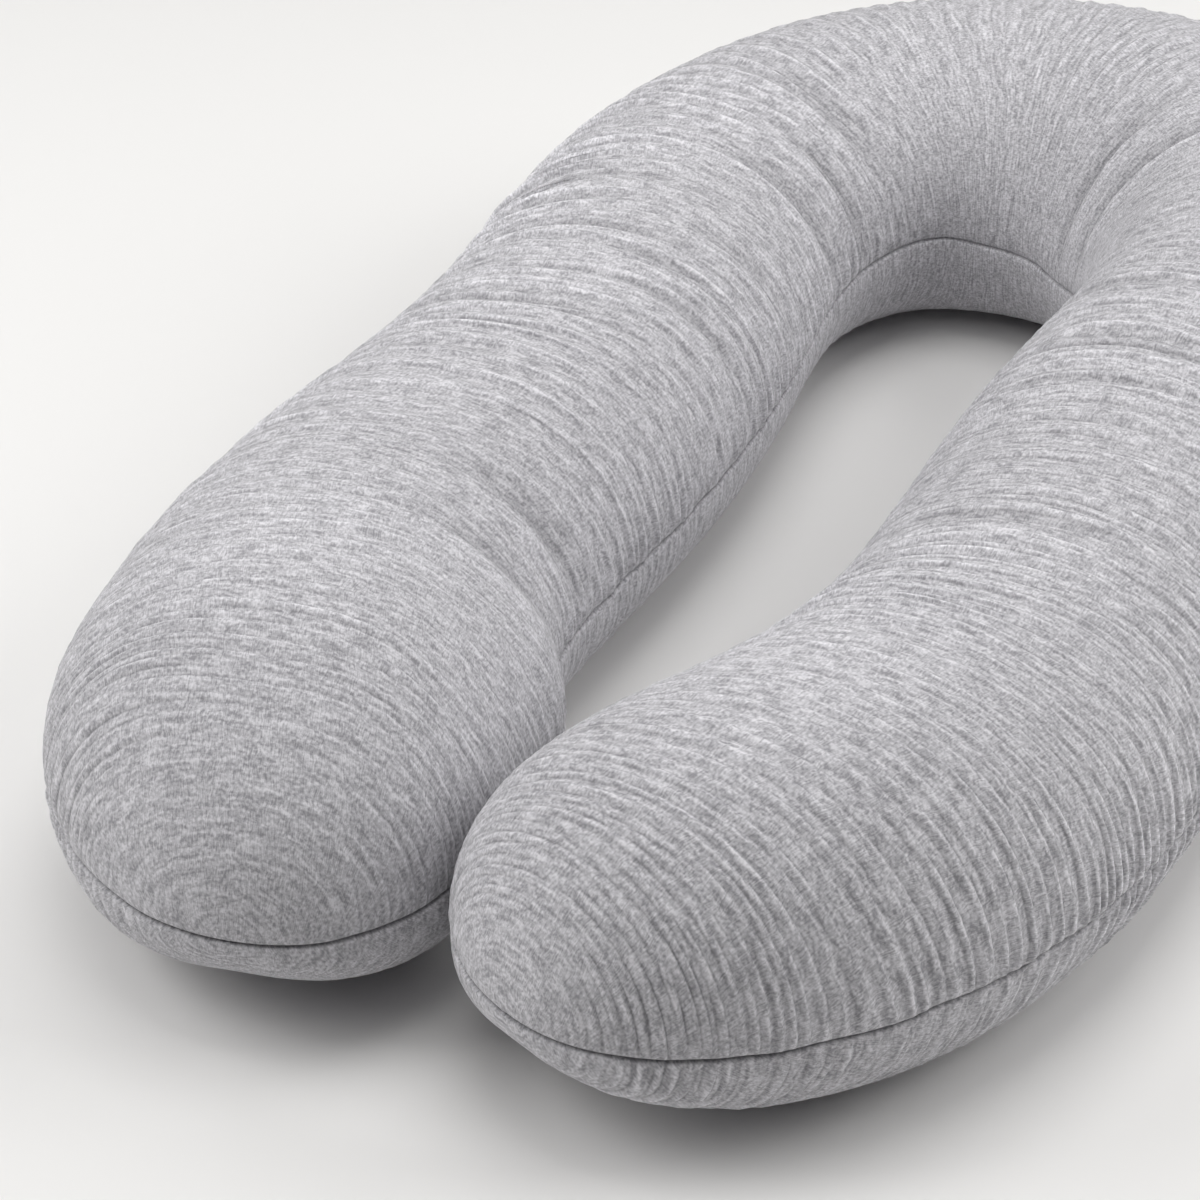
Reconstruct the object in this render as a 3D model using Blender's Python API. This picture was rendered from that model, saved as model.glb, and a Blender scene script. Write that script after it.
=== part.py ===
"""A U-shaped body pillow: a top and a bottom jersey panel sewn together round their outline, and filled.

Metres, +Z up. The pillow lies on the plane z = 0, its bend towards +Y and its two tips towards -Y. The tips
curve in until they press on each other. The solid is one closed skin: cross-sections carried along a spine,
from the left tip (-X) round the bend to the right tip (+X). The panels' seam is a groove round the outline.
"""

import bmesh
import bpy
import numpy as np

# The spine, from the left tip round the bend to the right tip. Turn is how far the section there is turned
# from square to the spine, in degrees.
SPINE_COLUMNS = ("x", "y", "half_width", "turn")
SPINE = (
    (-0.065, -0.565, 0.146, -7.5),
    (-0.129, -0.422, 0.151, -4.0),
    (-0.191, -0.265, 0.142, 7.5),
    (-0.212, -0.058, 0.137, 11.0),
    (-0.239, 0.151, 0.133, 5.0),
    (-0.272, 0.335, 0.131, 2.5),
    (-0.214, 0.507, 0.138, 6.0),
    (0.000, 0.572, 0.148, 0.0),
    (0.145, 0.465, 0.151, -1.0),
    (0.193, 0.318, 0.152, -8.0),
    (0.195, 0.153, 0.148, -3.0),
    (0.208, -0.047, 0.140, 5.0),
    (0.2125, -0.237, 0.1455, 11.5),
    (0.173, -0.398, 0.154, 20.5),
    (0.107, -0.545, 0.158, 6.5),
)
# What moves the spine so that the middle of the whole pillow's box is at x = 0, y = 0.
PLACE = (0.0208, -0.0767)

# A section, as shares of its half-width: the seam's height over the floor, the crown's height over the seam
# and the half-width of the band that lies flat on the floor.
SEAM_HEIGHT = 0.598
CROWN_HEIGHT = 0.924
FLOOR_BAND = 0.21
# Superellipse exponents of the arch above the seam and of the quarter arches below it.
ARCH_ROUNDNESS = 2.09
SIDE_ROUNDNESS = 2.41

# Along the body the outer side tucks in under the seam more than the inner side does, by this share.
OUTER_TUCK = 0.030
# Where the inner seam lies over or under its usual height: the distance along the spine, how far that
# reaches, and how much higher the seam is.
SEAM_RAISE_COLUMNS = ("distance", "half_width", "height")
SEAM_RAISES = (
    (1.030, 0.170, 0.0125),
    (1.400, 0.080, -0.0080),
)

# The rounded tips: how much of the spine each one takes, and their superellipse exponent.
LEFT_TIP_LENGTH = 0.206
RIGHT_TIP_LENGTH = 0.244
TIP_ROUNDNESS = 2.14
# The underside of a tip lifts off the floor faster than its plan narrows.
TIP_LIFT = 1.21

# The seam's groove.
GROOVE_DEPTH = 0.005
GROOVE_HALF_WIDTH = 0.012

# The two tips press on each other either side of a plane of one x, and stay a gap apart. How softly they do,
# and how much of the spine from each end may be moved by it.
TIP_MEETING_X = 0.040
TIP_GAP = 0.0016
TIP_PRESS_SOFTNESS = 0.0012
TIP_PRESS_REACH = 0.5

# Where the fabric buckles into main folds across the tube: the distance along the spine from the left tip,
# the angle of the fold's middle round the section (0 inner seam, 90 crown, 180 outer seam), how far it
# reaches each way, its depth and its half-width. The first one has a negative depth: it is the swelling of
# the left tip's inner side, just behind where the right tip presses on it.
FOLD_COLUMNS = ("distance", "angle", "reach", "depth", "half_width")
FOLDS = (
    (0.240, 0.0, 62.0, -0.0160, 0.050),
    (0.300, 38.0, 40.0, 0.0035, 0.014),
    (0.375, 35.0, 45.0, 0.0045, 0.015),
    (0.503, 97.0, 38.0, 0.0030, 0.014),
    (0.555, 102.0, 42.0, 0.0035, 0.014),
    (0.596, 97.0, 52.0, 0.0045, 0.014),
    (0.645, 100.0, 60.0, 0.0040, 0.014),
    (0.688, 110.0, 60.0, 0.0045, 0.014),
    (0.720, 97.0, 55.0, 0.0060, 0.014),
    (0.763, 108.0, 50.0, 0.0045, 0.014),
    (0.800, 100.0, 50.0, 0.0040, 0.014),
    (0.880, 40.0, 50.0, 0.0055, 0.016),
    (0.948, 36.0, 50.0, 0.0065, 0.016),
    (1.010, 62.0, 45.0, 0.0040, 0.016),
    (1.400, 35.0, 50.0, 0.0055, 0.017),
    (1.470, 42.0, 55.0, 0.0060, 0.018),
    (1.778, 55.0, 40.0, 0.0030, 0.014),
    (1.856, 78.0, 50.0, 0.0045, 0.014),
    (1.905, 75.0, 45.0, 0.0035, 0.014),
    (2.080, 80.0, 45.0, 0.0035, 0.015),
)

# The grid: sections along the body and along each tip, and the angles round the section. Close rows on both
# sides of the seam carry its groove.
BODY_STATIONS = 152
TIP_STATIONS = 11
ARCH_ANGLES = (0, 5, 15, 27, 40, 53, 66, 78, 90, 102, 114, 127, 140, 153, 165, 175, 180)
SIDE_ANGLES = (5, 20, 36, 54, 72, 90)

JERSEY_COLOUR = (0.47, 0.465, 0.485, 1.0)
JERSEY_ROUGHNESS = 0.92


def clear_scene():
    """Remove what a new file starts with."""
    for thing in list(bpy.data.objects):
        bpy.data.objects.remove(thing, do_unlink=True)


def column(name):
    """One named column of the spine's table."""
    return np.array([row[SPINE_COLUMNS.index(name)] for row in SPINE])


def natural_spline(knots, values, at):
    """The natural cubic spline through the values, and its slope, at the given places.

    The second derivatives at the knots solve the usual tridiagonal system, with zero at both ends.
    """
    gaps = np.diff(knots)
    rises = np.diff(values) / gaps
    count = len(knots)
    system = np.eye(count)
    right_side = np.zeros(count)
    for i in range(1, count - 1):
        system[i, i - 1:i + 2] = gaps[i - 1], 2 * (gaps[i - 1] + gaps[i]), gaps[i]
        right_side[i] = 6 * (rises[i] - rises[i - 1])
    bend = np.linalg.solve(system, right_side)
    k = np.clip(np.searchsorted(knots, at) - 1, 0, count - 2)
    before = at - knots[k]
    after = knots[k + 1] - at
    gap = gaps[k]
    value = (bend[k] * after**3 + bend[k + 1] * before**3) / (6 * gap)
    value = value + (values[k] / gap - bend[k] * gap / 6) * after
    value = value + (values[k + 1] / gap - bend[k + 1] * gap / 6) * before
    slope = (bend[k + 1] * before**2 - bend[k] * after**2) / (2 * gap) + rises[k]
    slope = slope - (bend[k + 1] - bend[k]) * gap / 6
    return value, slope


def spine_knots():
    """The distance of each of the table's rows from the left tip, along the chords."""
    steps = np.hypot(np.diff(column("x")), np.diff(column("y")))
    return np.concatenate(([0.0], np.cumsum(steps)))


def stations():
    """The sections' distances along the spine, and how full each one is, from 0 at a tip's end to 1.

    A tip's sections lie closer towards its end, as the sine of an even angle, and their fullness follows a
    superellipse.
    """
    length = spine_knots()[-1]
    turn = np.linspace(0.0, np.pi / 2, TIP_STATIONS + 1)[1:]
    reach = np.sin(turn)
    full = (1 - reach**TIP_ROUNDNESS) ** (1 / TIP_ROUNDNESS)
    left = LEFT_TIP_LENGTH * (1 - reach)
    right = length - RIGHT_TIP_LENGTH * (1 - reach)
    body = np.linspace(LEFT_TIP_LENGTH, length - RIGHT_TIP_LENGTH, BODY_STATIONS)
    distance = np.concatenate((left[::-1], body, right))
    fullness = np.concatenate((full[::-1], np.ones(BODY_STATIONS), full))
    return distance, np.maximum(fullness, 0.0)


def section():
    """One section's outline as shares: across (1 inner side, -1 outer), height over or under the seam.

    Above the seam it is one superellipse arch. Below, a quarter superellipse runs down each side to the
    floor band.
    """
    arch = np.radians(ARCH_ANGLES)
    across = np.sign(np.cos(arch)) * np.abs(np.cos(arch)) ** (2 / ARCH_ROUNDNESS)
    over = np.abs(np.sin(arch)) ** (2 / ARCH_ROUNDNESS)
    side = np.radians(SIDE_ANGLES)
    out = FLOOR_BAND + (1 - FLOOR_BAND) * np.abs(np.cos(side)) ** (2 / SIDE_ROUNDNESS)
    under = np.sin(side) ** (2 / SIDE_ROUNDNESS)
    across = np.concatenate((across, -out, out[::-1]))
    over = np.concatenate((over, np.zeros(2 * len(side))))
    under = np.concatenate((np.zeros(len(arch)), under, under[::-1]))
    angle = np.concatenate((ARCH_ANGLES, 180 + np.array(SIDE_ANGLES), 360 - np.array(SIDE_ANGLES)[::-1]))
    return across, over, under, angle


def seam_raise(distance):
    """How much higher the inner seam lies there than its usual height: a sum of bell curves."""
    height = np.zeros(distance.shape)
    for row in SEAM_RAISES:
        one = dict(zip(SEAM_RAISE_COLUMNS, row))
        height += one["height"] * np.exp(-(((distance - one["distance"]) / one["half_width"]) ** 2))
    return height


def skin(distance, fullness):
    """The smooth surface's points, one row for each section, before the groove, folds and press of tips."""
    knots = spine_knots()
    x, slope_x = natural_spline(knots, column("x"), distance)
    y, slope_y = natural_spline(knots, column("y"), distance)
    half_width = natural_spline(knots, column("half_width"), distance)[0]
    turn = np.radians(natural_spline(knots, column("turn"), distance)[0])
    heading = np.arctan2(slope_y, slope_x) - np.pi / 2 + turn
    across, over, under, _ = section()
    tuck = OUTER_TUCK * 4 * under * (1 - under) * (across < 0) * (fullness**3)[:, None]
    reach = (half_width * fullness)[:, None] * across * (1 - tuck)
    seam = SEAM_HEIGHT * half_width
    rise = (CROWN_HEIGHT * half_width * fullness)[:, None] * over
    rise = rise + seam_raise(distance)[:, None] * np.clip(across, 0, 1) ** 3 * (1 - under)
    drop = (seam * fullness**TIP_LIFT)[:, None] * (under - tuck)
    points = np.empty(reach.shape + (3,))
    points[..., 0] = PLACE[0] + x[:, None] + np.cos(heading)[:, None] * reach
    points[..., 1] = PLACE[1] + y[:, None] + np.sin(heading)[:, None] * reach
    points[..., 2] = seam[:, None] + rise - drop
    return points


def outward(points):
    """The surface's outward normals, from the differences between neighbouring rows and columns."""
    along = np.gradient(points, axis=0)
    around = np.roll(points, -1, axis=1) - np.roll(points, 1, axis=1)
    normal = np.cross(along, around)
    length = np.linalg.norm(normal, axis=2, keepdims=True)
    normal = normal / np.maximum(length, 1e-12)
    for end, inner in ((0, TIP_STATIONS // 2), (-1, -1 - TIP_STATIONS // 2)):
        away = points[end, 0] - points[inner].mean(axis=0)
        away[2] = 0.0
        normal[end] = away / np.linalg.norm(away)
    return normal


def groove(points, distance):
    """How deep the seam's groove is: full at the seam's height, none past its half-width."""
    half_width = natural_spline(spine_knots(), column("half_width"), distance)[0]
    is_inner = section()[0] > 0
    level = (SEAM_HEIGHT * half_width)[:, None] + seam_raise(distance)[:, None] * is_inner
    off = np.abs(points[..., 2] - level)
    return GROOVE_DEPTH * np.clip(1 - off / GROOVE_HALF_WIDTH, 0, 1)


def folds(distance, angle):
    """How deep the main folds are: each a trough, a bell curve along the spine and a cosine hump round."""
    depth = np.zeros((len(distance), len(angle)))
    for row in FOLDS:
        fold = dict(zip(FOLD_COLUMNS, row))
        along = np.exp(-(((distance - fold["distance"]) / fold["half_width"]) ** 2))
        apart = np.abs((angle - fold["angle"] + 180) % 360 - 180)
        off = np.clip(apart / fold["reach"], 0, 1)
        depth += fold["depth"] * along[:, None] * np.cos(off * np.pi / 2) ** 2
    return depth


def press_tips(points, distance):
    """Press the two tips on each other, either side of the plane between them.

    How far a point lies past its own side of the plane goes through a soft minimum with zero, which moves
    only what is near the plane or past it.
    """
    half = spine_knots()[-1] / 2
    side = np.where(distance < half, 1.0, -1.0)[:, None]
    past = (points[..., 0] - TIP_MEETING_X) * side + TIP_GAP / 2
    pressed = TIP_PRESS_SOFTNESS * np.logaddexp(0.0, past / TIP_PRESS_SOFTNESS)
    near_a_tip = half - np.abs(distance - half) < TIP_PRESS_REACH
    points[..., 0] -= np.where(near_a_tip[:, None], pressed, 0.0) * side
    return points


def pillow_points():
    """Every row of the finished skin."""
    distance, fullness = stations()
    angle = section()[3]
    points = skin(distance, fullness)
    normal = outward(points)
    flat = points[..., 2] < 1e-6
    depth = groove(points, distance) + folds(distance, angle)
    points = points - normal * np.where(flat, 0.0, depth)[..., None]
    return press_tips(points, distance)


def build_pillow():
    """Stitch the rows into one closed skin: quads between rows, a fan at each tip's end."""
    points = pillow_points()
    rows, around = points.shape[:2]
    shape = bmesh.new()
    left_end = shape.verts.new(points[0].mean(axis=0))
    right_end = shape.verts.new(points[-1].mean(axis=0))
    grid = [[shape.verts.new(point) for point in row] for row in points[1:-1]]
    for near, far in zip(grid, grid[1:]):
        for i in range(around):
            j = (i + 1) % around
            shape.faces.new((near[i], near[j], far[j], far[i]))
    for i in range(around):
        j = (i + 1) % around
        shape.faces.new((left_end, grid[0][j], grid[0][i]))
        shape.faces.new((right_end, grid[-1][i], grid[-1][j]))
    bmesh.ops.recalc_face_normals(shape, faces=shape.faces)
    mesh = bpy.data.meshes.new("pillow")
    shape.to_mesh(mesh)
    shape.free()
    mesh.shade_smooth()
    return mesh


def jersey():
    """Soft grey jersey, plain."""
    material = bpy.data.materials.new("heather_jersey")
    material.use_nodes = True
    shader = material.node_tree.nodes["Principled BSDF"]
    shader.inputs["Base Color"].default_value = JERSEY_COLOUR
    shader.inputs["Roughness"].default_value = JERSEY_ROUGHNESS
    shader.inputs["Metallic"].default_value = 0.0
    return material


def main():
    clear_scene()
    mesh = build_pillow()
    mesh.materials.append(jersey())
    pillow = bpy.data.objects.new("pillow", mesh)
    bpy.context.scene.collection.objects.link(pillow)


main()
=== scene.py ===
"""The looks of the U-shaped body pillow: two panels of heather jersey, ribbed and folded, sewn at one seam.

Metres, +Z up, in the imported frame's place. The skin is one surface, a function of the distance along the
pillow's spine (from the left tip at -X round the bend to the right tip) and of the angle round the section
(0 inner seam, 90 crown, 180 outer seam, 270 floor). Relief moves it along its normal, and ribs and tucks also
lean along the tube.
"""

import math

import bpy
import numpy as np
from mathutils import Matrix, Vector


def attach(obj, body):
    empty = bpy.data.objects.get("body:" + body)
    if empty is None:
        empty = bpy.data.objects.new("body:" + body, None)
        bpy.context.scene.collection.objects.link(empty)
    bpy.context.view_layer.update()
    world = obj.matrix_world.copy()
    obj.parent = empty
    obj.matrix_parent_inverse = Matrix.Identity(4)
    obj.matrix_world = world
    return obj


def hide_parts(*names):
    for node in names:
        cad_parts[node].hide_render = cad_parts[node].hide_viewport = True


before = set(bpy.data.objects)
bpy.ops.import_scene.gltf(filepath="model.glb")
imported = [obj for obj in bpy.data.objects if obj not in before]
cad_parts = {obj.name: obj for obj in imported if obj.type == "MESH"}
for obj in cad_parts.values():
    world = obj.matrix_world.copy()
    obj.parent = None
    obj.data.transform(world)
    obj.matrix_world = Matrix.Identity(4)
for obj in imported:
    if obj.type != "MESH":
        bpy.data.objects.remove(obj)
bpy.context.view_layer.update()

# The spine, from the left tip round the bend to the right tip. Turn is how far the section there is turned
# from square to the spine, in degrees. The ribs of the jersey follow the sections.
SPINE_COLUMNS = ("x", "y", "half_width", "turn")
SPINE = (
    (-0.065, -0.565, 0.146, -7.5),
    (-0.129, -0.422, 0.151, -4.0),
    (-0.191, -0.265, 0.142, 7.5),
    (-0.212, -0.058, 0.137, 11.0),
    (-0.239, 0.151, 0.133, 5.0),
    (-0.272, 0.335, 0.131, 2.5),
    (-0.214, 0.507, 0.138, 6.0),
    (0.000, 0.572, 0.148, 0.0),
    (0.145, 0.465, 0.151, -1.0),
    (0.193, 0.318, 0.152, -8.0),
    (0.195, 0.153, 0.148, -3.0),
    (0.208, -0.047, 0.140, 5.0),
    (0.2125, -0.237, 0.1455, 11.5),
    (0.173, -0.398, 0.154, 20.5),
    (0.107, -0.545, 0.158, 6.5),
)
PLACE = (0.0208, -0.0767)

# A section, as shares of its half-width: the seam's height over the floor, the crown's height over the seam
# and the half-width of the band that lies flat on the floor.
SEAM_HEIGHT = 0.598
CROWN_HEIGHT = 0.924
FLOOR_BAND = 0.21
# Superellipse exponents of the arch above the seam and of the quarter arches below it.
ARCH_ROUNDNESS = 2.09
SIDE_ROUNDNESS = 2.41

# Along the body the outer side tucks in under the seam more than the inner side does, by this share.
OUTER_TUCK = 0.030
# Where the inner seam lies over or under its usual height: the distance along the spine, how far that
# reaches, and how much higher the seam is.
SEAM_RAISE_COLUMNS = ("distance", "half_width", "height")
SEAM_RAISES = (
    (1.030, 0.170, 0.0125),
    (1.400, 0.080, -0.0080),
)

# The rounded tips: how much of the spine each one takes, and their superellipse exponent.
LEFT_TIP_LENGTH = 0.206
RIGHT_TIP_LENGTH = 0.244
TIP_ROUNDNESS = 2.14
# The underside of a tip lifts off the floor faster than its plan narrows.
TIP_LIFT = 1.21

# The two tips press on each other either side of a plane of one x.
TIP_MEETING_X = 0.040
TIP_GAP = 0.0016
TIP_PRESS_SOFTNESS = 0.0012
TIP_PRESS_REACH = 0.5

# The tucks across the tube, the main folds: the distance along the spine from the left tip, the angle of the
# tuck's middle round the section, how far it reaches each way, its depth and its half-width.
FOLD_COLUMNS = ("distance", "angle", "reach", "depth", "half_width")
TUCKS = (
    (0.300, 38.0, 40.0, 0.0030, 0.013),
    (0.375, 35.0, 45.0, 0.0035, 0.013),
    (0.503, 97.0, 32.0, 0.0020, 0.006),
    (0.555, 102.0, 38.0, 0.0030, 0.007),
    (0.595, 97.0, 52.0, 0.0040, 0.008),
    (0.640, 45.0, 40.0, 0.0025, 0.009),
    (0.648, 110.0, 38.0, 0.0028, 0.007),
    (0.687, 66.0, 32.0, 0.0030, 0.010),
    (0.690, 136.0, 34.0, 0.0034, 0.008),
    (0.720, 97.0, 55.0, 0.0048, 0.008),
    (0.750, 40.0, 42.0, 0.0028, 0.009),
    (0.765, 114.0, 42.0, 0.0034, 0.007),
    (0.800, 100.0, 45.0, 0.0028, 0.008),
    (0.880, 40.0, 50.0, 0.0040, 0.012),
    (0.948, 36.0, 50.0, 0.0044, 0.009),
    (1.010, 62.0, 45.0, 0.0030, 0.012),
    (1.400, 35.0, 50.0, 0.0040, 0.013),
    (1.470, 42.0, 55.0, 0.0045, 0.013),
    (1.778, 55.0, 40.0, 0.0025, 0.009),
    (1.856, 78.0, 50.0, 0.0038, 0.009),
    (1.905, 75.0, 45.0, 0.0025, 0.009),
    (2.080, 80.0, 45.0, 0.0025, 0.012),
)
# The swelling of the left tip's inner side, as a tuck the other way up.
SWELLING = (0.240, 0.0, 62.0, -0.0160, 0.050)

# The grid: how far apart the rows across the tube are, a tip's arc as a share of a quarter circle, the distances
# from a seam of the close columns beside it, how far apart the other columns are, and how many columns cross
# half of the floor band.
ROW_STEP = 0.00116
TIP_ARC_SHARE = 0.9
SEAM_COLUMNS = (0.0, 0.0007, 0.0016, 0.0030, 0.0052, 0.0086, 0.0135, 0.0200)
TOP_COLUMN_STEP = 0.0157
SIDE_COLUMN_STEP = 0.0165
BAND_COLUMNS = 2
# The half-width that the columns are laid out for, and how many points a curve is measured by.
MEAN_HALF_WIDTH = 0.146
CURVE_POINTS = 2001

# Divisors are kept from zero by this much.
TINY = 1e-12

# The seam: the wide hollow that the two panels roll into, the narrow line in its middle, how steep both are, the
# lip of the bottom panel beside it, and how much darker the line is, painted shade of the seam's groove.
GROOVE_DEPTH = 0.0014
GROOVE_WIDTH = 0.0080
GROOVE_POWER = 1.6
SEAM_LINE_DEPTH = 0.0022
SEAM_LINE_WIDTH = 0.0013
SEAM_LINE_POWER = 1.5
LIP_HEIGHT = 0.0007
LIP_PLACE = 0.0022
LIP_WIDTH = 0.0012
SEAM_PAINTED_SHADE = 0.45
# The line wavers up and down: by how much, over what distance, how far off the seam that reaches, and how far
# from a tip's end it starts.
SEAM_WOBBLE = 0.0008
WOBBLE_CELL = 0.012
WOBBLE_REACH = 0.012
WOBBLE_TIP_FADE = 0.05
# How much lighter the lip is on the inner side, a painted highlight, and the share of the line's painted shade
# that is left where the skin is shortest, inside the bend.
LIP_PAINTED_HIGHLIGHT = 0.12
BEND_LINE_SHARE = 0.3

# The jersey's relief, three sets of lines round the tube: fine creases, gathers and broad pleats. For each: how
# far apart its lines lie, how high it is, how long a line runs before it changes, how strong it is at a tip, how
# much the seam gathers it, how much deeper it is where the left leg is pleated, how far its crests lean towards
# the bend for each unit of height, and whether its lines are sharp crests (1) or sharp creases (-1).
RIB_COLUMNS = ("pitch", "height", "reach", "at_tip", "gather", "pleated", "lean", "kind")
RIBS = (
    (0.0062, 0.00036, 0.150, 2.2, 0.0, -0.6, 0.3, -1),
    (0.0100, 0.00115, 0.150, 0.5, 1.7, 0.2, 1.0, 1),
    (0.0190, 0.00160, 0.180, 0.1, 0.3, 1.8, 1.6, 1),
)
# Where the left leg is pleated, how far that reaches along the spine, and how soon it fades off the outer side.
PLEATED_PLACE = 0.70
PLEATED_WIDTH = 0.22
PLEATED_SIDE_POWER = 0.7
# How far from a tip's end a set reaches the strength that it has along the body.
BODY_START = 0.34
# How much of its lean a crest has, on average and from place to place, and the size of such places.
LEAN_MEAN = 0.6
LEAN_SPREAD = 0.6
LEAN_CELLS = (0.09, 0.12)
# A roll of cloth lies beside each tuck, on its side away from the bend: its height as a share of the tuck's
# depth, and how far off it lies, in half-widths.
ROLL_SHARE = 0.45
ROLL_PLACE = 1.7
# How far a tuck is pushed away from the bend, the painted shade in its trough and the painted highlight on its
# roll, for each unit of depth or height. The seam holds the cloth: a tuck is flat on it.
TUCK_LEAN = 1.6
TUCK_PAINTED_SHADE = 85.0
ROLL_PAINTED_HIGHLIGHT = 60.0
TUCK_TAUT_WIDTH = 0.014
# Over how many pitches along the tube a set changes, and how much its strength differs from place to place.
CHANGE_PITCHES = 3.0
PATCH_CELL = 0.085
PATCH_SPREAD = 0.5
PATCH_RANGE = (0.25, 1.9)
# How far the ribs wander along the tube, over what distances, and how far from a tip's end they do so in full.
WANDER = 0.0045
WANDER_CELLS = (0.055, 0.075)
WANDER_TIP_FADE = 0.10
# How much darker a crease is than the cloth, a painted shade, and how much lighter a crest, a painted highlight,
# and how far the painted light of all the sets together may go both ways.
CREASE_PAINTED_SHADE = 0.15
CREST_PAINTED_HIGHLIGHT = 0.12
RIB_PAINTED_LIGHT_RANGE = (-0.5, 0.4)
# The seam holds the cloth: the ribs are flat on it, and strongest a little way off.
TAUT_WIDTH = 0.0036
GATHER_REACH = 0.026
# Where the skin is shorter than this share of its length at the crown, the ribs are weaker.
FULL_STRETCH = 0.9
# How much weaker the ribs are on the inner side, on the top panel and on the bottom panel.
TOP_CALM = 0.35
BOTTOM_CALM = 0.80
# The ribs end a little above the floor, and the folds and the seam's hollow nearer to it.
RIB_FLOOR_FADE = 0.034
RIB_FLOOR_POWER = 1.5
FOLD_FLOOR_FADE = 0.012
# Within this distance of a tip's end the ribs grow weaker, down to the least share of them.
TIP_FADE = 0.032
TIP_LEAST = 0.12

# The seeds of the random lattices; a set of ribs adds its own number, or that many steps.
WANDER_SEED = 11
WOBBLE_SEED = 77
PATCH_SEED = 50
LEAN_SEED = 70
WAVE_SEED_STEP = 1000

# The photograph's camera.
CAMERA_PLACE = (1.0728, -2.0715, 1.4645)
CAMERA_DOWN = 32.4129
CAMERA_HEADING = 31.2554
CAMERA_LENS = 118.65
SENSOR_WIDTH = 36.0

# The studio's lights: bearing from the camera's right hand towards the back, height in degrees, and power.
LIGHT_DISTANCE = 4.0
LIGHT_SIZE = 2.5
LIGHT_COLOUR = (1.0, 0.995, 0.985)
STUDIO_LIGHTS = (
    ("overhead", 0.0, 90.0, 56.0),
    ("left", 180.0, 35.0, 88.0),
    ("right", 0.0, 35.0, 82.0),
    ("back_right", 45.0, 35.0, 20.0),
    ("back_right_high", 45.0, 60.0, 14.0),
    ("front", 270.0, 60.0, 8.0),
    ("front_left", 225.0, 60.0, 20.0),
)
LIGHT_AIM = (0.0, 0.0, 0.1)
SURROUND_COLOUR = (1.0, 0.995, 0.99)
SURROUND_STRENGTH = 0.02

FLOOR_COLOUR = (0.830, 0.825, 0.818)
FLOOR_ROUGHNESS = 0.9
FLOOR_SIZE = 24.0

# The jersey's colours, from the dark fibres to the light ones, and the values of the mixed noise they stand at.
JERSEY_COLOURS = (
    (0.40, (0.290, 0.286, 0.305)),
    (0.50, (0.468, 0.462, 0.488)),
    (0.60, (0.665, 0.656, 0.688)),
)
# The three noises that mix the fibres: streaks and wisps on the cloth's own lengths, with their cells in a metre
# along the tube and round it, and an even grain. For each its detail and its share of the mix too.
STREAK_SCALE = (310.0, 60.0, 1.0)
STREAK_DETAIL = 3.0
STREAK_SHARE = 0.37
WISP_SCALE = (180.0, 1250.0, 1.0)
WISP_DETAIL = 1.0
WISP_SHARE = 0.26
GRAIN_SCALE = 480.0
GRAIN_DETAIL = 2.0
GRAIN_SHARE = 0.37
# The streaks and wisps run in bent lines: the cells in a metre of that bending, and how far it goes.
BENDING_SCALE = 55.0
BENDING_REACH = 0.008
# The nap's bump: the shares of the wisps and the grain in it, its strength and its height.
NAP_WISP_SHARE = 0.6
NAP_GRAIN_SHARE = 0.4
NAP_STRENGTH = 0.5
NAP_HEIGHT = 0.0006
JERSEY_SURFACE = {
    "Roughness": 0.95,
    "Specular IOR Level": 0.15,
    "Sheen Weight": 0.22,
    "Sheen Roughness": 0.45,
}


def column(name):
    """One named column of the spine's table."""
    return np.array([row[SPINE_COLUMNS.index(name)] for row in SPINE])


def natural_spline(knots, values, at):
    """The natural cubic spline through the values, and its slope, at the given places.

    The second derivatives at the knots solve the usual tridiagonal system, with zero at both ends.
    """
    gaps = np.diff(knots)
    rises = np.diff(values) / gaps
    count = len(knots)
    system = np.eye(count)
    right_side = np.zeros(count)
    for i in range(1, count - 1):
        system[i, i - 1:i + 2] = gaps[i - 1], 2 * (gaps[i - 1] + gaps[i]), gaps[i]
        right_side[i] = 6 * (rises[i] - rises[i - 1])
    bend = np.linalg.solve(system, right_side)
    k = np.clip(np.searchsorted(knots, at) - 1, 0, count - 2)
    before = at - knots[k]
    after = knots[k + 1] - at
    gap = gaps[k]
    value = (bend[k] * after**3 + bend[k + 1] * before**3) / (6 * gap)
    value = value + (values[k] / gap - bend[k] * gap / 6) * after
    value = value + (values[k + 1] / gap - bend[k + 1] * gap / 6) * before
    slope = (bend[k + 1] * before**2 - bend[k] * after**2) / (2 * gap) + rises[k]
    slope = slope - (bend[k + 1] - bend[k]) * gap / 6
    return value, slope


def spine_knots():
    """The distance of each of the table's rows from the left tip, along the chords."""
    steps = np.hypot(np.diff(column("x")), np.diff(column("y")))
    return np.concatenate(([0.0], np.cumsum(steps)))


SPINE_KNOTS = spine_knots()
SPINE_LENGTH = SPINE_KNOTS[-1]


def row_distances():
    """The rows' distances along the spine: even along the body, and closer towards a tip's end.

    At a tip a row's distance from where the tip starts is the tip's length times the sine of an even angle.
    """
    rows = []
    for length in (LEFT_TIP_LENGTH, RIGHT_TIP_LENGTH):
        count = round(math.pi / 2 * TIP_ARC_SHARE * length / ROW_STEP)
        turn = np.linspace(0.0, np.pi / 2, count + 1)[1:]
        rows.append(length * (1 - np.sin(turn)))
    body_length = SPINE_LENGTH - LEFT_TIP_LENGTH - RIGHT_TIP_LENGTH
    body = LEFT_TIP_LENGTH + np.linspace(0.0, body_length, round(body_length / ROW_STEP))
    return np.concatenate((rows[0][::-1], body, SPINE_LENGTH - rows[1]))


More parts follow.
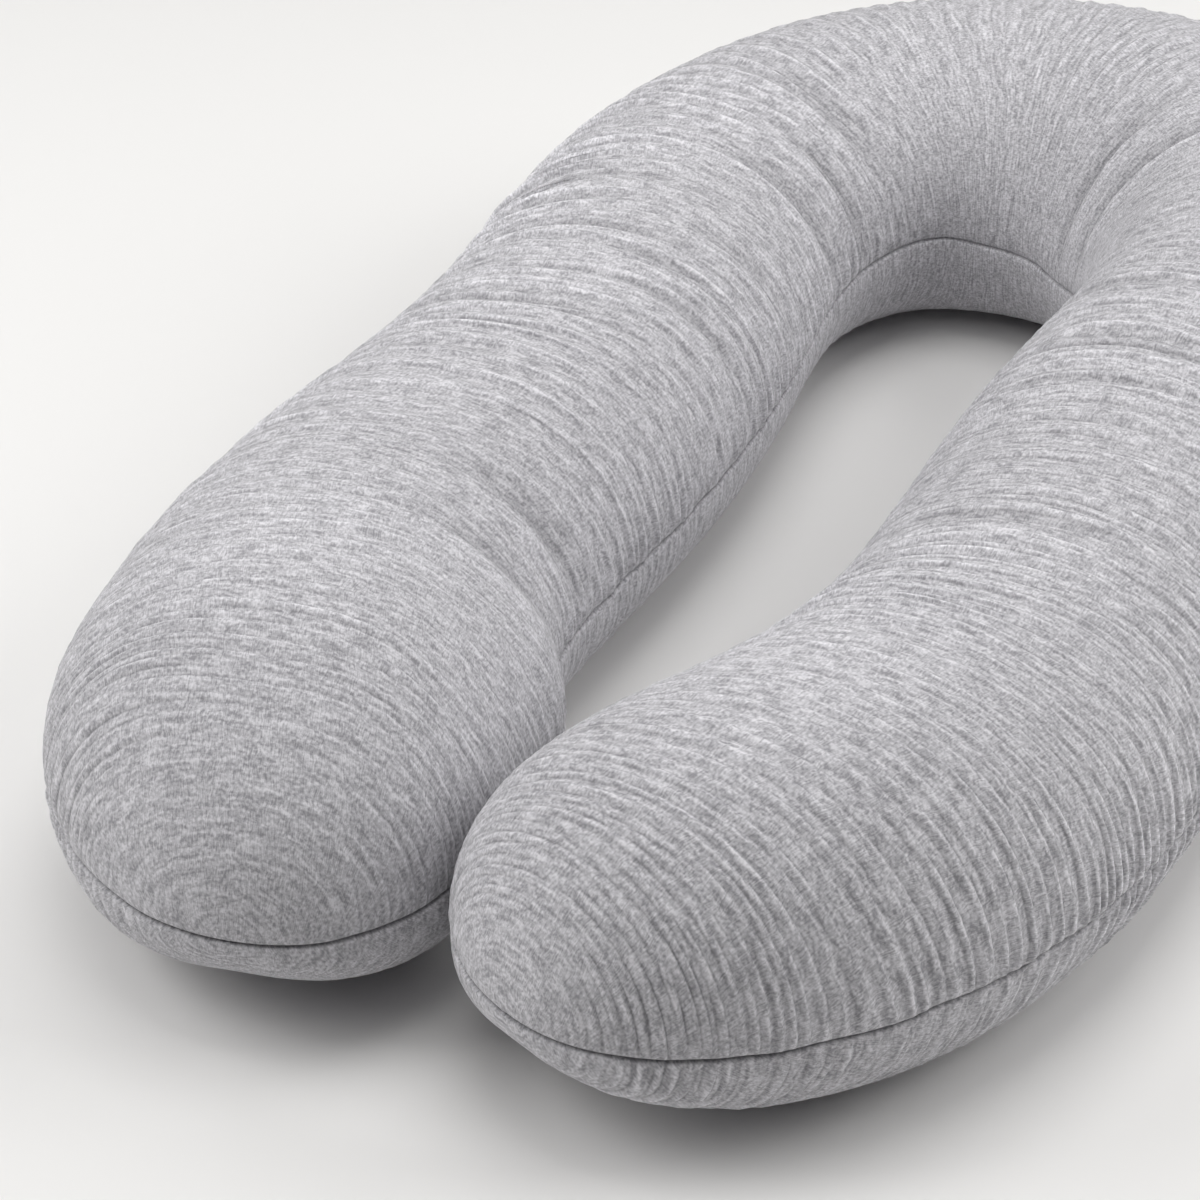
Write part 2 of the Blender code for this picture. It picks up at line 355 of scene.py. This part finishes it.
def fullness(distance):
    """How full a section is: 1 along the body, and down to 0 at a tip's end as a superellipse."""
    left = np.clip(1 - distance / LEFT_TIP_LENGTH, 0, 1)
    right = np.clip(1 - (SPINE_LENGTH - distance) / RIGHT_TIP_LENGTH, 0, 1)
    reach = np.maximum(left, right)
    return np.maximum(1 - reach**TIP_ROUNDNESS, 0) ** (1 / TIP_ROUNDNESS)


def arch(angle):
    """The top half of a section at an angle from 0 to 180: its shares across and over the seam."""
    turn = np.radians(angle)
    across = np.sign(np.cos(turn)) * np.abs(np.cos(turn)) ** (2 / ARCH_ROUNDNESS)
    over = np.abs(np.sin(turn)) ** (2 / ARCH_ROUNDNESS)
    return across, over


def side(angle):
    """One side under the seam, at an angle from 0 at the seam to 90 at the floor band: its shares."""
    turn = np.radians(angle)
    out = FLOOR_BAND + (1 - FLOOR_BAND) * np.abs(np.cos(turn)) ** (2 / SIDE_ROUNDNESS)
    under = np.sin(turn) ** (2 / SIDE_ROUNDNESS)
    return out, under


def curve_lengths(across, height):
    """The distance along a curve from its start to each of its points."""
    steps = np.hypot(np.diff(across), np.diff(height))
    return np.concatenate(([0.0], np.cumsum(steps)))


def column_girths(total, step, both_ends):
    """Distances along a curve: the seam's close columns at one end or both, the rest evenly between."""
    close = np.array(SEAM_COLUMNS)
    last = total - close[-1] if both_ends else total
    count = round((last - close[-1]) / step)
    even = np.linspace(close[-1], last, count + 1)[1:]
    if both_ends:
        return np.concatenate((close, even[:-1], total - close[::-1]))
    return np.concatenate((close, even))


def top_angles():
    """The angles of the top panel's columns, from the inner seam over the crown to the outer seam."""
    fine = np.linspace(0.0, 180.0, CURVE_POINTS)
    across, over = arch(fine)
    lengths = curve_lengths(MEAN_HALF_WIDTH * across, MEAN_HALF_WIDTH * CROWN_HEIGHT * over)
    return np.interp(column_girths(lengths[-1], TOP_COLUMN_STEP, True), lengths, fine)


def side_angles():
    """The angles of the columns of a side under the seam, down to the floor band, the seam's left out."""
    fine = np.linspace(0.0, 90.0, CURVE_POINTS)
    out, under = side(fine)
    lengths = curve_lengths(MEAN_HALF_WIDTH * out, MEAN_HALF_WIDTH * SEAM_HEIGHT * under)
    return np.interp(column_girths(lengths[-1], SIDE_COLUMN_STEP, False), lengths, fine)[1:]


def section():
    """One section's outline, once round from the inner seam: shares across, over and under, and its angles.

    The second value says how many columns the top panel has, both its seams counted.
    """
    top = top_angles()
    down = side_angles()
    across, over = arch(top)
    out, under = side(down)
    band = np.linspace(-FLOOR_BAND, FLOOR_BAND, 2 * BAND_COLUMNS + 1)[1:-1]
    none = np.zeros(2 * len(down) + len(band))
    across = np.concatenate((across, -out, band, out[::-1]))
    over = np.concatenate((over, none))
    under = np.concatenate((np.zeros(len(top)), under, np.ones(len(band)), under[::-1]))
    middle = np.full(len(band), 270.0)
    angle = np.concatenate((top, 180 + down, middle, 360 - down[::-1]))
    return (across, over, under, angle), len(top)


def bell(distance, width):
    """A bell curve: 1 in the middle and 1/e at the width."""
    return np.exp(-((distance / width) ** 2))


def seam_raise(distance):
    """How much higher the inner seam lies there than its usual height: a sum of bell curves."""
    height = np.zeros(distance.shape)
    for row in SEAM_RAISES:
        one = dict(zip(SEAM_RAISE_COLUMNS, row))
        height += one["height"] * bell(distance - one["distance"], one["half_width"])
    return height


def skin(distance, shares):
    """The smooth surface's points at a grid of distances along the spine, one column for each share.

    A point stands over the spine, moved across the tube by its share of the half-width, and up or down from the
    seam by its share of the crown's or the seam's height. Fullness narrows and lowers all this at a tip.
    """
    across, over, under, _ = shares
    x, slope_x = natural_spline(SPINE_KNOTS, column("x"), distance)
    y, slope_y = natural_spline(SPINE_KNOTS, column("y"), distance)
    half_width = natural_spline(SPINE_KNOTS, column("half_width"), distance)[0]
    turn = np.radians(natural_spline(SPINE_KNOTS, column("turn"), distance)[0])
    heading = np.arctan2(slope_y, slope_x) - np.pi / 2 + turn
    full = fullness(distance)
    tuck = OUTER_TUCK * 4 * under * (1 - under) * (across < 0) * full**3
    reach = half_width * full * across * (1 - tuck)
    seam = SEAM_HEIGHT * half_width
    points = np.empty(distance.shape + (3,))
    points[..., 0] = PLACE[0] + x + np.cos(heading) * reach
    points[..., 1] = PLACE[1] + y + np.sin(heading) * reach
    raised = seam_raise(distance) * np.clip(across, 0, 1) ** 3 * (1 - under)
    over_seam = CROWN_HEIGHT * half_width * full * over
    points[..., 2] = seam + raised + over_seam - seam * full**TIP_LIFT * (under - tuck)
    return points


def outward(points):
    """The surface's outward normals, from the differences between neighbouring rows and columns.

    The end row at a tip is a single point, so its normal is level and points away from a row further in.
    """
    inner_row = 40
    along = np.gradient(points, axis=0)
    around = np.roll(points, -1, axis=1) - np.roll(points, 1, axis=1)
    normal = np.cross(along, around)
    length = np.linalg.norm(normal, axis=2, keepdims=True)
    normal = normal / np.maximum(length, TINY)
    for end, inner in ((0, inner_row), (-1, -1 - inner_row)):
        away = points[end, 0] - points[inner].mean(axis=0)
        away[2] = 0.0
        normal[end] = away / np.linalg.norm(away)
    return normal


def spline_weights(t):
    """The four weights of the uniform cubic B-spline at a share t of a cell."""
    return (1 - t) ** 3 / 6, (3 * t**3 - 6 * t**2 + 4) / 6, (1 + 3 * t + 3 * t**2 - 3 * t**3) / 6, t**3 / 6


def smooth_noise(seed, along, around, cell_along, cell_around):
    """Smooth random values with a spread of about 1.

    Normal random numbers stand on a lattice of cells, and the cubic B-spline blends them both ways.
    """
    spline_spread = 0.479
    place_along = along / cell_along
    place_around = around / cell_around
    cell_a = np.floor(place_along).astype(int)
    cell_b = np.floor(place_around).astype(int)
    first_a = cell_a.min()
    first_b = cell_b.min()
    size = (cell_a.max() - first_a + 4, cell_b.max() - first_b + 4)
    lattice = np.random.default_rng(seed).standard_normal(size)
    total = np.zeros(np.broadcast(along, around).shape)
    for p, weight_a in enumerate(spline_weights(place_along - cell_a)):
        for q, weight_b in enumerate(spline_weights(place_around - cell_b)):
            total += weight_a * weight_b * lattice[cell_a - first_a + p, cell_b - first_b + q]
    return total / spline_spread


def wave_of_pitch(seed, pitch, reach, along, around):
    """A wave across the tube that wanders and forks; its zeros lie about a pitch apart.

    It is a cosine and a sine, each with a smooth random strength of its own. The second row is the same wave a
    quarter turn on.
    """
    phase = np.pi * along / pitch
    change = CHANGE_PITCHES * pitch
    first = smooth_noise(seed, along, around, change, reach)
    second = smooth_noise(seed + 1, along, around, change, reach)
    cosine = np.cos(phase)
    sine = np.sin(phase)
    return np.array((first * cosine + second * sine, second * cosine - first * sine))


def even_wave(seed, pitch, reach, along, around, stretch):
    """The same wave, its zeros a pitch apart on the surface itself.

    Where the skin is shorter or longer than at the crown, a coarser or finer set of waves takes over.
    """
    octaves = range(-2, 5)
    octave_step = 0.7
    blend_width = 0.42
    stretch_range = (0.1, 4.0)
    least_power = 1e-9
    total = np.zeros((2,) + stretch.shape)
    power = np.zeros(stretch.shape)
    for k in octaves:
        octave = k * octave_step
        octave_seed = seed + 10 * k + 100
        off = octave + np.log2(np.clip(stretch, *stretch_range))
        share = bell(off, blend_width)
        total += share * wave_of_pitch(octave_seed, pitch * 2**octave, reach, along, around)
        power += share**2
    return total / np.sqrt(power + least_power)


def fold_hump(fold, distance, angle, aside):
    """One fold's share of its depth: a bell curve along the spine and a cosine hump round the section."""
    apart = np.abs((angle - fold["angle"] + 180) % 360 - 180)
    share = np.clip(apart / fold["reach"], 0, 1)
    return bell((distance - fold["distance"]) / fold["half_width"] + aside, 1.0) * np.cos(share * np.pi / 2) ** 2


def swelling(distance, angle):
    """How far the skin swells out on the left tip's inner side, as a depth."""
    fold = dict(zip(FOLD_COLUMNS, SWELLING))
    return fold["depth"] * fold_hump(fold, distance, angle, 0.0)


def tucks(place):
    """How deep the tucks are, less the lower roll that lies beside each."""
    depth = np.zeros(place["distance"].shape)
    for row in TUCKS:
        fold = dict(zip(FOLD_COLUMNS, row))
        aside = ROLL_PLACE if fold["distance"] < SPINE_LENGTH / 2 else -ROLL_PLACE
        trough = fold_hump(fold, place["distance"], place["angle"], 0.0)
        roll = fold_hump(fold, place["distance"], place["angle"], aside)
        depth += fold["depth"] * (trough - ROLL_SHARE * roll)
    return depth * (1 - bell(place["from_seam"], TUCK_TAUT_WIDTH))


def seam_depth(place):
    """How deep the skin is drawn in beside the seam: a wide bell and a narrow one, less the lip."""
    from_seam = place["from_seam"]
    wide = GROOVE_DEPTH * np.exp(-((from_seam / GROOVE_WIDTH) ** GROOVE_POWER))
    narrow = SEAM_LINE_DEPTH * np.exp(-((from_seam / SEAM_LINE_WIDTH) ** SEAM_LINE_POWER))
    lip = LIP_HEIGHT * bell(from_seam - LIP_PLACE, LIP_WIDTH)
    return wide + narrow - np.where(place["is_bottom"], lip, 0.0)


def seam_painted_light(place):
    """Painted light beside the seam: painted shade along the line, and on the inner side a painted highlight on
    the lip.
    """
    from_seam = place["from_seam"]
    inner = (1 + np.cos(np.radians(place["angle"]))) / 2
    line_share = BEND_LINE_SHARE + (1 - BEND_LINE_SHARE) * place["length_share"]
    line = SEAM_PAINTED_SHADE * line_share * bell(from_seam, SEAM_LINE_WIDTH)
    lip = LIP_PAINTED_HIGHLIGHT * inner * bell(from_seam - LIP_PLACE, LIP_WIDTH) * place["is_bottom"]
    return 1 - line + lip


def seam_wobble(place):
    """How far up or down the seam's line wavers, fading off the seam, at the tips' ends and inside the bend."""
    along = place["along"]
    wobble = SEAM_WOBBLE * smooth_noise(WOBBLE_SEED, along, 0 * along, WOBBLE_CELL, 1.0)
    wobble = wobble * bell(place["from_seam"], WOBBLE_REACH)
    return wobble * place["length_share"] * np.clip(place["from_tip"] / WOBBLE_TIP_FADE, 0, 1)


def press_tips(points, distance):
    """Press the two tips on each other, either side of the plane between them.

    How far a point lies past its own side of the plane goes through a soft minimum with zero, which moves
    only what is near the plane or past it.
    """
    half = SPINE_LENGTH / 2
    side_sign = np.where(distance < half, 1.0, -1.0)
    past = (points[..., 0] - TIP_MEETING_X) * side_sign + TIP_GAP / 2
    pressed = TIP_PRESS_SOFTNESS * np.logaddexp(0.0, past / TIP_PRESS_SOFTNESS)
    near_a_tip = half - np.abs(distance - half) < TIP_PRESS_REACH
    points[..., 0] -= np.where(near_a_tip, pressed, 0.0) * side_sign
    return points


def girths(points, top_count):
    """Each point's distance round the section from the nearest seam, and from its own panel's middle."""
    steps = np.linalg.norm(np.diff(points, axis=1, append=points[:, :1]), axis=2)
    length = np.cumsum(steps, axis=1) - steps
    whole = length[:, -1:] + steps[:, -1:]
    outer = length[:, top_count - 1:top_count]
    from_seam = np.minimum(np.minimum(length, whole - length), np.abs(length - outer))
    is_top = np.arange(points.shape[1]) < top_count
    from_middle = np.where(is_top, length - outer / 2, length - (outer + whole) / 2)
    return from_seam, from_middle


def lengths_along(points, crown):
    """The distance of each row along the crown, and how long the skin is there beside the crown's."""
    steps = np.linalg.norm(np.gradient(points, axis=0), axis=2)
    crown_steps = steps[:, crown:crown + 1]
    along = np.cumsum(crown_steps, axis=0) - crown_steps
    return along, steps / np.maximum(crown_steps, TINY)


def patches(seed, along, around):
    """A smooth random strength about 1 that changes from patch to patch of the cloth."""
    strength = 1 + PATCH_SPREAD * smooth_noise(seed, along, around, PATCH_CELL, PATCH_CELL)
    return np.clip(strength, *PATCH_RANGE)


def rib_hold(place):
    """The share of the ribs that the seam, the short cloth inside the bend and the calm inner side let stand."""
    inner = np.clip(np.cos(np.radians(place["angle"])), 0, 1) ** 2
    calm = 1 - inner * np.where(place["angle"] > 180, BOTTOM_CALM, TOP_CALM)
    return (1 - bell(place["from_seam"], TAUT_WIDTH)) * np.clip(place["stretch"] / FULL_STRETCH, 0, 1) * calm


def pleated_share(place):
    """Where the left leg is pleated: a bell curve along the spine, strongest on the outer side."""
    outer = (1 - np.cos(np.radians(place["angle"]))) / 2
    return bell(place["distance"] - PLEATED_PLACE, PLEATED_WIDTH) * outer**PLEATED_SIDE_POWER


def rib_set(number, place, hold, pleated):
    """One set of ribs: how far it stands out of the smooth skin, how far it leans, and the painted light on its
    lines.

    A line of the set lies where its wave passes through zero. The wave's size as a share of its strength is how
    far off the line a place is, and where the strength itself fades, lines fork and the set is flat.
    """
    mean_size = 0.64
    least_size = 1e-6
    line_roundness = 0.10
    line_width = 0.28
    fork_strength = 0.6
    one = dict(zip(RIB_COLUMNS, RIBS[number]))
    along, around = place["along"], place["around"]
    seed = WAVE_SEED_STEP * number
    wave, quarter = even_wave(seed, one["pitch"], one["reach"], along, around, place["stretch"])
    size = np.hypot(wave, quarter)
    off_line = np.hypot(wave / (size + least_size), line_roundness)
    body = np.clip(place["from_tip"] / BODY_START, 0, 1)
    strength = patches(PATCH_SEED + number, along, around) * (one["at_tip"] + (1 - one["at_tip"]) * body)
    strength = strength * (1 + one["gather"] * np.exp(-place["from_seam"] / GATHER_REACH)) * hold
    strength = strength * np.clip(size / fork_strength, 0, 1)
    strength = strength * (1 + one["pleated"] * pleated)
    rise = one["height"] * strength * (mean_size - off_line) * one["kind"]
    bend = LEAN_MEAN + LEAN_SPREAD * smooth_noise(LEAN_SEED + number, along, around, *LEAN_CELLS)
    # Painted light along the set's lines: a painted highlight on crests, painted shade in creases.
    line = strength * bell(off_line - line_roundness, line_width)
    painted_light = line * (CREST_PAINTED_HIGHLIGHT if one["kind"] > 0 else -CREASE_PAINTED_SHADE)
    return np.array((rise, one["lean"] * bend * rise, painted_light))


def ribs(place):
    """All the ribs: how far they stand out of the smooth skin, how far they lean along it, and their painted
    light.
    """
    hold = rib_hold(place)
    pleated = pleated_share(place)
    rise, lean, painted_light = sum(rib_set(number, place, hold, pleated) for number in range(len(RIBS)))
    from_end = np.clip(place["from_tip"] / TIP_FADE, 0, 1)
    end = np.maximum(from_end, TIP_LEAST)
    return rise * end, lean * from_end, 1 + np.clip(painted_light, *RIB_PAINTED_LIGHT_RANGE) * end


def places(shares, top_count):
    """What the relief depends on: grids of distances and lengths on the smooth skin, each by its name.

    The length share is 1 where the skin is at least as long as at the crown, and falls fast where it is shorter.
    """
    rows = row_distances()[:, None]
    angle = shares[3]
    distance = np.broadcast_to(rows, (len(rows), len(angle)))
    points = skin(distance, shares)
    from_seam, around = girths(points, top_count)
    along, stretch = lengths_along(points, top_count // 2)
    return {
        "distance": distance,
        "angle": angle,
        "height": points[..., 2],
        "is_bottom": np.arange(len(angle)) >= top_count,
        "from_tip": np.minimum(distance, SPINE_LENGTH - distance),
        "from_seam": from_seam,
        "along": along,
        "around": around,
        "stretch": stretch,
        "length_share": np.clip(stretch, 0, 1) ** 2,
    }


def wandering(place):
    """The distances along the spine, moved to and fro by smooth noise, so that the ribs wander."""
    wander = WANDER * smooth_noise(WANDER_SEED, place["along"], place["around"], *WANDER_CELLS)
    return place["distance"] + wander * np.clip(place["from_tip"] / WANDER_TIP_FADE, 0, 1) ** 2


def put_relief_on(points, place, out, push):
    """Move the skin's points along its normals and along the tube.

    No point goes under the floor, and where the smooth skin rests on the floor, so does this one.
    """
    floor_touch = 1e-6
    step = np.gradient(points, axis=0)
    forward = step / np.maximum(np.linalg.norm(step, axis=2, keepdims=True), TINY)
    moved = points + outward(points) * out[..., None]
    moved = moved + forward * push[..., None]
    moved[..., 2] += seam_wobble(place)
    on_floor = place["height"] < floor_touch
    moved[..., 2] = np.where(on_floor, 0.0, np.maximum(moved[..., 2], 0.0))
    return moved


def pillow_surface():
    """The finished skin: a dictionary of grids of points, of two lengths on the cloth and of painted shade and
    highlights.
    """
    shares, top_count = section()
    place = places(shares, top_count)
    distance = wandering(place)
    rise, lean, painted_light = ribs(place)
    tuck = tucks(place)
    trough = np.maximum(tuck, 0)
    roll = np.maximum(-tuck, 0)
    to_bend = np.where(place["distance"] < SPINE_LENGTH / 2, 1.0, -1.0)
    push = (lean - TUCK_LEAN * trough * place["length_share"]) * to_bend
    depth = seam_depth(place) + swelling(distance, place["angle"]) + tuck
    off_floor = np.clip(place["height"] / FOLD_FLOOR_FADE, 0, 1)
    above = np.clip(place["height"] / RIB_FLOOR_FADE, 0, 1) ** RIB_FLOOR_POWER
    points = put_relief_on(skin(distance, shares), place, rise * above - depth * off_floor, push * above)
    # Painted shade in the tucks' troughs and painted highlights on their rolls, with the ribs' and the seam's
    # painted light.
    painted_light = painted_light * seam_painted_light(place) - TUCK_PAINTED_SHADE * trough + ROLL_PAINTED_HIGHLIGHT * roll
    return {
        "points": press_tips(points, distance),
        "along": np.broadcast_to(place["along"], painted_light.shape),
        "around": place["around"],
        "painted_light": painted_light,
        "top_count": top_count,
    }


def panel_faces(rows, columns):
    """The faces of a panel: quads between rows, and a fan at each pole; the poles are the last two points."""
    first = np.arange((rows - 1) * columns).reshape(rows - 1, columns)[:, :-1].ravel()
    quads = np.stack((first, first + columns, first + columns + 1, first + 1), axis=1)
    left_pole = rows * columns
    near = np.arange(columns - 1)
    far = near + (rows - 1) * columns
    left = np.stack((np.full(columns - 1, left_pole), near, near + 1), axis=1)
    right = np.stack((far, np.full(columns - 1, left_pole + 1), far + 1), axis=1)
    return quads.tolist() + left.tolist() + right.tolist()


def with_poles(grid):
    """A grid's rows between its two ends as one list, and then one value for each end."""
    inner = grid[1:-1].reshape((-1,) + grid.shape[2:])
    ends = grid[[0, -1]].mean(axis=1)
    return np.concatenate((inner, ends))


def build_panel(name, surface, columns, material):
    """One panel as a mesh: its points, its cloth lengths as a UV map and its painted shade and highlights as an
    attribute.
    """
    points = with_poles(surface["points"][:, columns])
    rows = surface["points"].shape[0] - 2
    mesh = bpy.data.meshes.new(name)
    mesh.from_pydata(points.tolist(), [], panel_faces(rows, len(columns)))
    mesh.shade_smooth()
    # The painted shade and highlights, which the jersey multiplies into its colour.
    painted_light = mesh.attributes.new("painted_light", "FLOAT", "POINT")
    painted_light.data.foreach_set("value", with_poles(surface["painted_light"][:, columns]).astype(np.float32))
    corner = np.empty(len(mesh.loops), dtype=np.int32)
    mesh.loops.foreach_get("vertex_index", corner)
    along = with_poles(surface["along"][:, columns])
    around = with_poles(surface["around"][:, columns])
    cloth = mesh.uv_layers.new(name="cloth")
    cloth.data.foreach_set("uv", np.stack((along, around), axis=1)[corner].ravel().astype(np.float32))
    mesh.materials.append(material)
    panel = bpy.data.objects.new(name, mesh)
    bpy.context.scene.collection.objects.link(panel)
    return panel


def math_node(tree, operation, first, second):
    """Arithmetic on two sockets or numbers."""
    node = tree.nodes.new("ShaderNodeMath")
    node.operation = operation
    for slot, value in zip(node.inputs, (first, second)):
        if isinstance(value, (int, float)):
            slot.default_value = value
        else:
            tree.links.new(value, slot)
    return node.outputs[0]


def weighted_sum(tree, parts):
    """The sum of sockets, each multiplied by its own weight."""
    total = 0.0
    for socket, weight in parts:
        total = math_node(tree, "ADD", total, math_node(tree, "MULTIPLY", socket, weight))
    return total


def scaled(tree, vector, scale):
    """A coordinate with each part multiplied by a number of its own."""
    node = tree.nodes.new("ShaderNodeVectorMath")
    node.operation = "MULTIPLY"
    tree.links.new(vector, node.inputs[0])
    node.inputs[1].default_value = scale
    return node.outputs[0]


def waver(tree, vector, place):
    """A coordinate moved by soft noise, so that what reads it runs in bent lines."""
    soft = tree.nodes.new("ShaderNodeTexNoise")
    soft.inputs["Scale"].default_value = BENDING_SCALE
    tree.links.new(place, soft.inputs["Vector"])
    moved = tree.nodes.new("ShaderNodeVectorMath")
    moved.operation = "MULTIPLY_ADD"
    tree.links.new(soft.outputs["Color"], moved.inputs[0])
    moved.inputs[1].default_value = (BENDING_REACH, BENDING_REACH, 0.0)
    tree.links.new(vector, moved.inputs[2])
    return moved.outputs[0]


def noise(tree, vector, scale, detail):
    """Noise on a coordinate, from 0 to 1."""
    node = tree.nodes.new("ShaderNodeTexNoise")
    node.inputs["Scale"].default_value = scale
    node.inputs["Detail"].default_value = detail
    tree.links.new(vector, node.inputs["Vector"])
    return node.outputs[0]


def colour_steps(tree, value, stops):
    """A colour for each value, blended between the stops."""
    node = tree.nodes.new("ShaderNodeValToRGB")
    ramp = node.color_ramp
    while len(ramp.elements) < len(stops):
        ramp.elements.new(0.5)
    for element, (place, colour) in zip(ramp.elements, stops):
        element.position = place
        element.color = (*colour, 1.0)
    tree.links.new(value, node.inputs[0])
    return node.outputs[0]


def times_painted_light(tree, colour):
    """A colour multiplied by the painted shade and highlights, which are an attribute of the mesh."""
    painted_light = tree.nodes.new("ShaderNodeAttribute")
    painted_light.attribute_name = "painted_light"
    product = tree.nodes.new("ShaderNodeMix")
    product.data_type = "RGBA"
    product.blend_type = "MULTIPLY"
    product.inputs["Factor"].default_value = 1.0
    tree.links.new(colour, product.inputs["A"])
    tree.links.new(painted_light.outputs["Color"], product.inputs["B"])
    return product.outputs["Result"]


def heather_jersey():
    """Brushed heather jersey: dark and light fibres mixed in the yarn, fine wales, and a soft nap; its colour
    also carries painted shade and highlights.
    """
    material = bpy.data.materials.new("heather_jersey")
    material.use_nodes = True
    tree = material.node_tree
    shader = tree.nodes["Principled BSDF"]
    place = tree.nodes.new("ShaderNodeTexCoord").outputs["Object"]
    uv_map = tree.nodes.new("ShaderNodeUVMap")
    uv_map.uv_map = "cloth"
    bent = waver(tree, uv_map.outputs[0], place)
    streaks = noise(tree, scaled(tree, bent, STREAK_SCALE), 1.0, STREAK_DETAIL)
    wisps = noise(tree, scaled(tree, bent, WISP_SCALE), 1.0, WISP_DETAIL)
    grain = noise(tree, place, GRAIN_SCALE, GRAIN_DETAIL)
    mixed = weighted_sum(tree, ((streaks, STREAK_SHARE), (wisps, WISP_SHARE), (grain, GRAIN_SHARE)))
    colour = times_painted_light(tree, colour_steps(tree, mixed, JERSEY_COLOURS))
    tree.links.new(colour, shader.inputs["Base Color"])

    nap = weighted_sum(tree, ((wisps, NAP_WISP_SHARE), (grain, NAP_GRAIN_SHARE)))
    bump = tree.nodes.new("ShaderNodeBump")
    bump.inputs["Strength"].default_value = NAP_STRENGTH
    bump.inputs["Distance"].default_value = NAP_HEIGHT
    tree.links.new(nap, bump.inputs["Height"])
    tree.links.new(bump.outputs[0], shader.inputs["Normal"])
    for name, value in JERSEY_SURFACE.items():
        shader.inputs[name].default_value = value
    return material


def plain_material(name, colour, roughness):
    """A material of one even colour."""
    material = bpy.data.materials.new(name)
    material.use_nodes = True
    shader = material.node_tree.nodes["Principled BSDF"]
    shader.inputs["Base Color"].default_value = (*colour, 1.0)
    shader.inputs["Roughness"].default_value = roughness
    return material


def build_pillow():
    """Both panels, from one surface, so that they share the seam's points."""
    surface = pillow_surface()
    material = heather_jersey()
    top_count = surface["top_count"]
    all_columns = surface["around"].shape[1]
    top_columns = list(range(top_count))
    bottom_columns = list(range(top_count - 1, all_columns)) + [0]
    for name, columns in (("top_panel", top_columns), ("bottom_panel", bottom_columns)):
        panel = build_panel(name, surface, columns, material)
        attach(panel, "root")
        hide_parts("pillow")


def build_floor():
    """A plain pale floor."""
    bpy.ops.mesh.primitive_plane_add(size=FLOOR_SIZE)
    floor = bpy.context.object
    floor.name = "floor"
    floor.data.materials.append(plain_material("floor_white", FLOOR_COLOUR, FLOOR_ROUGHNESS))


def soft_light(name, place, power):
    """A square soft light that faces the pillow."""
    light = bpy.data.lights.new(name, "AREA")
    light.size = LIGHT_SIZE
    light.energy = power
    light.color = LIGHT_COLOUR
    lamp = bpy.data.objects.new(name, light)
    lamp.location = place
    lamp.rotation_euler = (Vector(LIGHT_AIM) - place).to_track_quat("-Z", "Y").to_euler()
    bpy.context.scene.collection.objects.link(lamp)


def light_studio():
    """A faint even surround, and the soft lights, all as far from the pillow, placed as seen from the camera."""
    world = bpy.data.worlds.new("surround")
    world.use_nodes = True
    background = world.node_tree.nodes["Background"]
    background.inputs["Color"].default_value = (*SURROUND_COLOUR, 1.0)
    background.inputs["Strength"].default_value = SURROUND_STRENGTH
    bpy.context.scene.world = world
    for name, bearing, height, power in STUDIO_LIGHTS:
        turn = math.radians(CAMERA_HEADING + bearing)
        lift = math.radians(height)
        away = Vector((math.cos(turn) * math.cos(lift), math.sin(turn) * math.cos(lift), math.sin(lift)))
        soft_light(name, LIGHT_DISTANCE * away, power)


def place_camera():
    """The photograph's camera."""
    camera = bpy.data.objects.new("camera", bpy.data.cameras.new("camera"))
    camera.data.lens = CAMERA_LENS
    camera.data.sensor_width = SENSOR_WIDTH
    camera.location = CAMERA_PLACE
    camera.rotation_euler = (math.radians(90 - CAMERA_DOWN), 0.0, math.radians(CAMERA_HEADING))
    bpy.context.scene.collection.objects.link(camera)
    bpy.context.scene.camera = camera


bpy.context.scene.view_settings.view_transform = "Standard"
place_camera()
build_floor()
light_studio()
build_pillow()
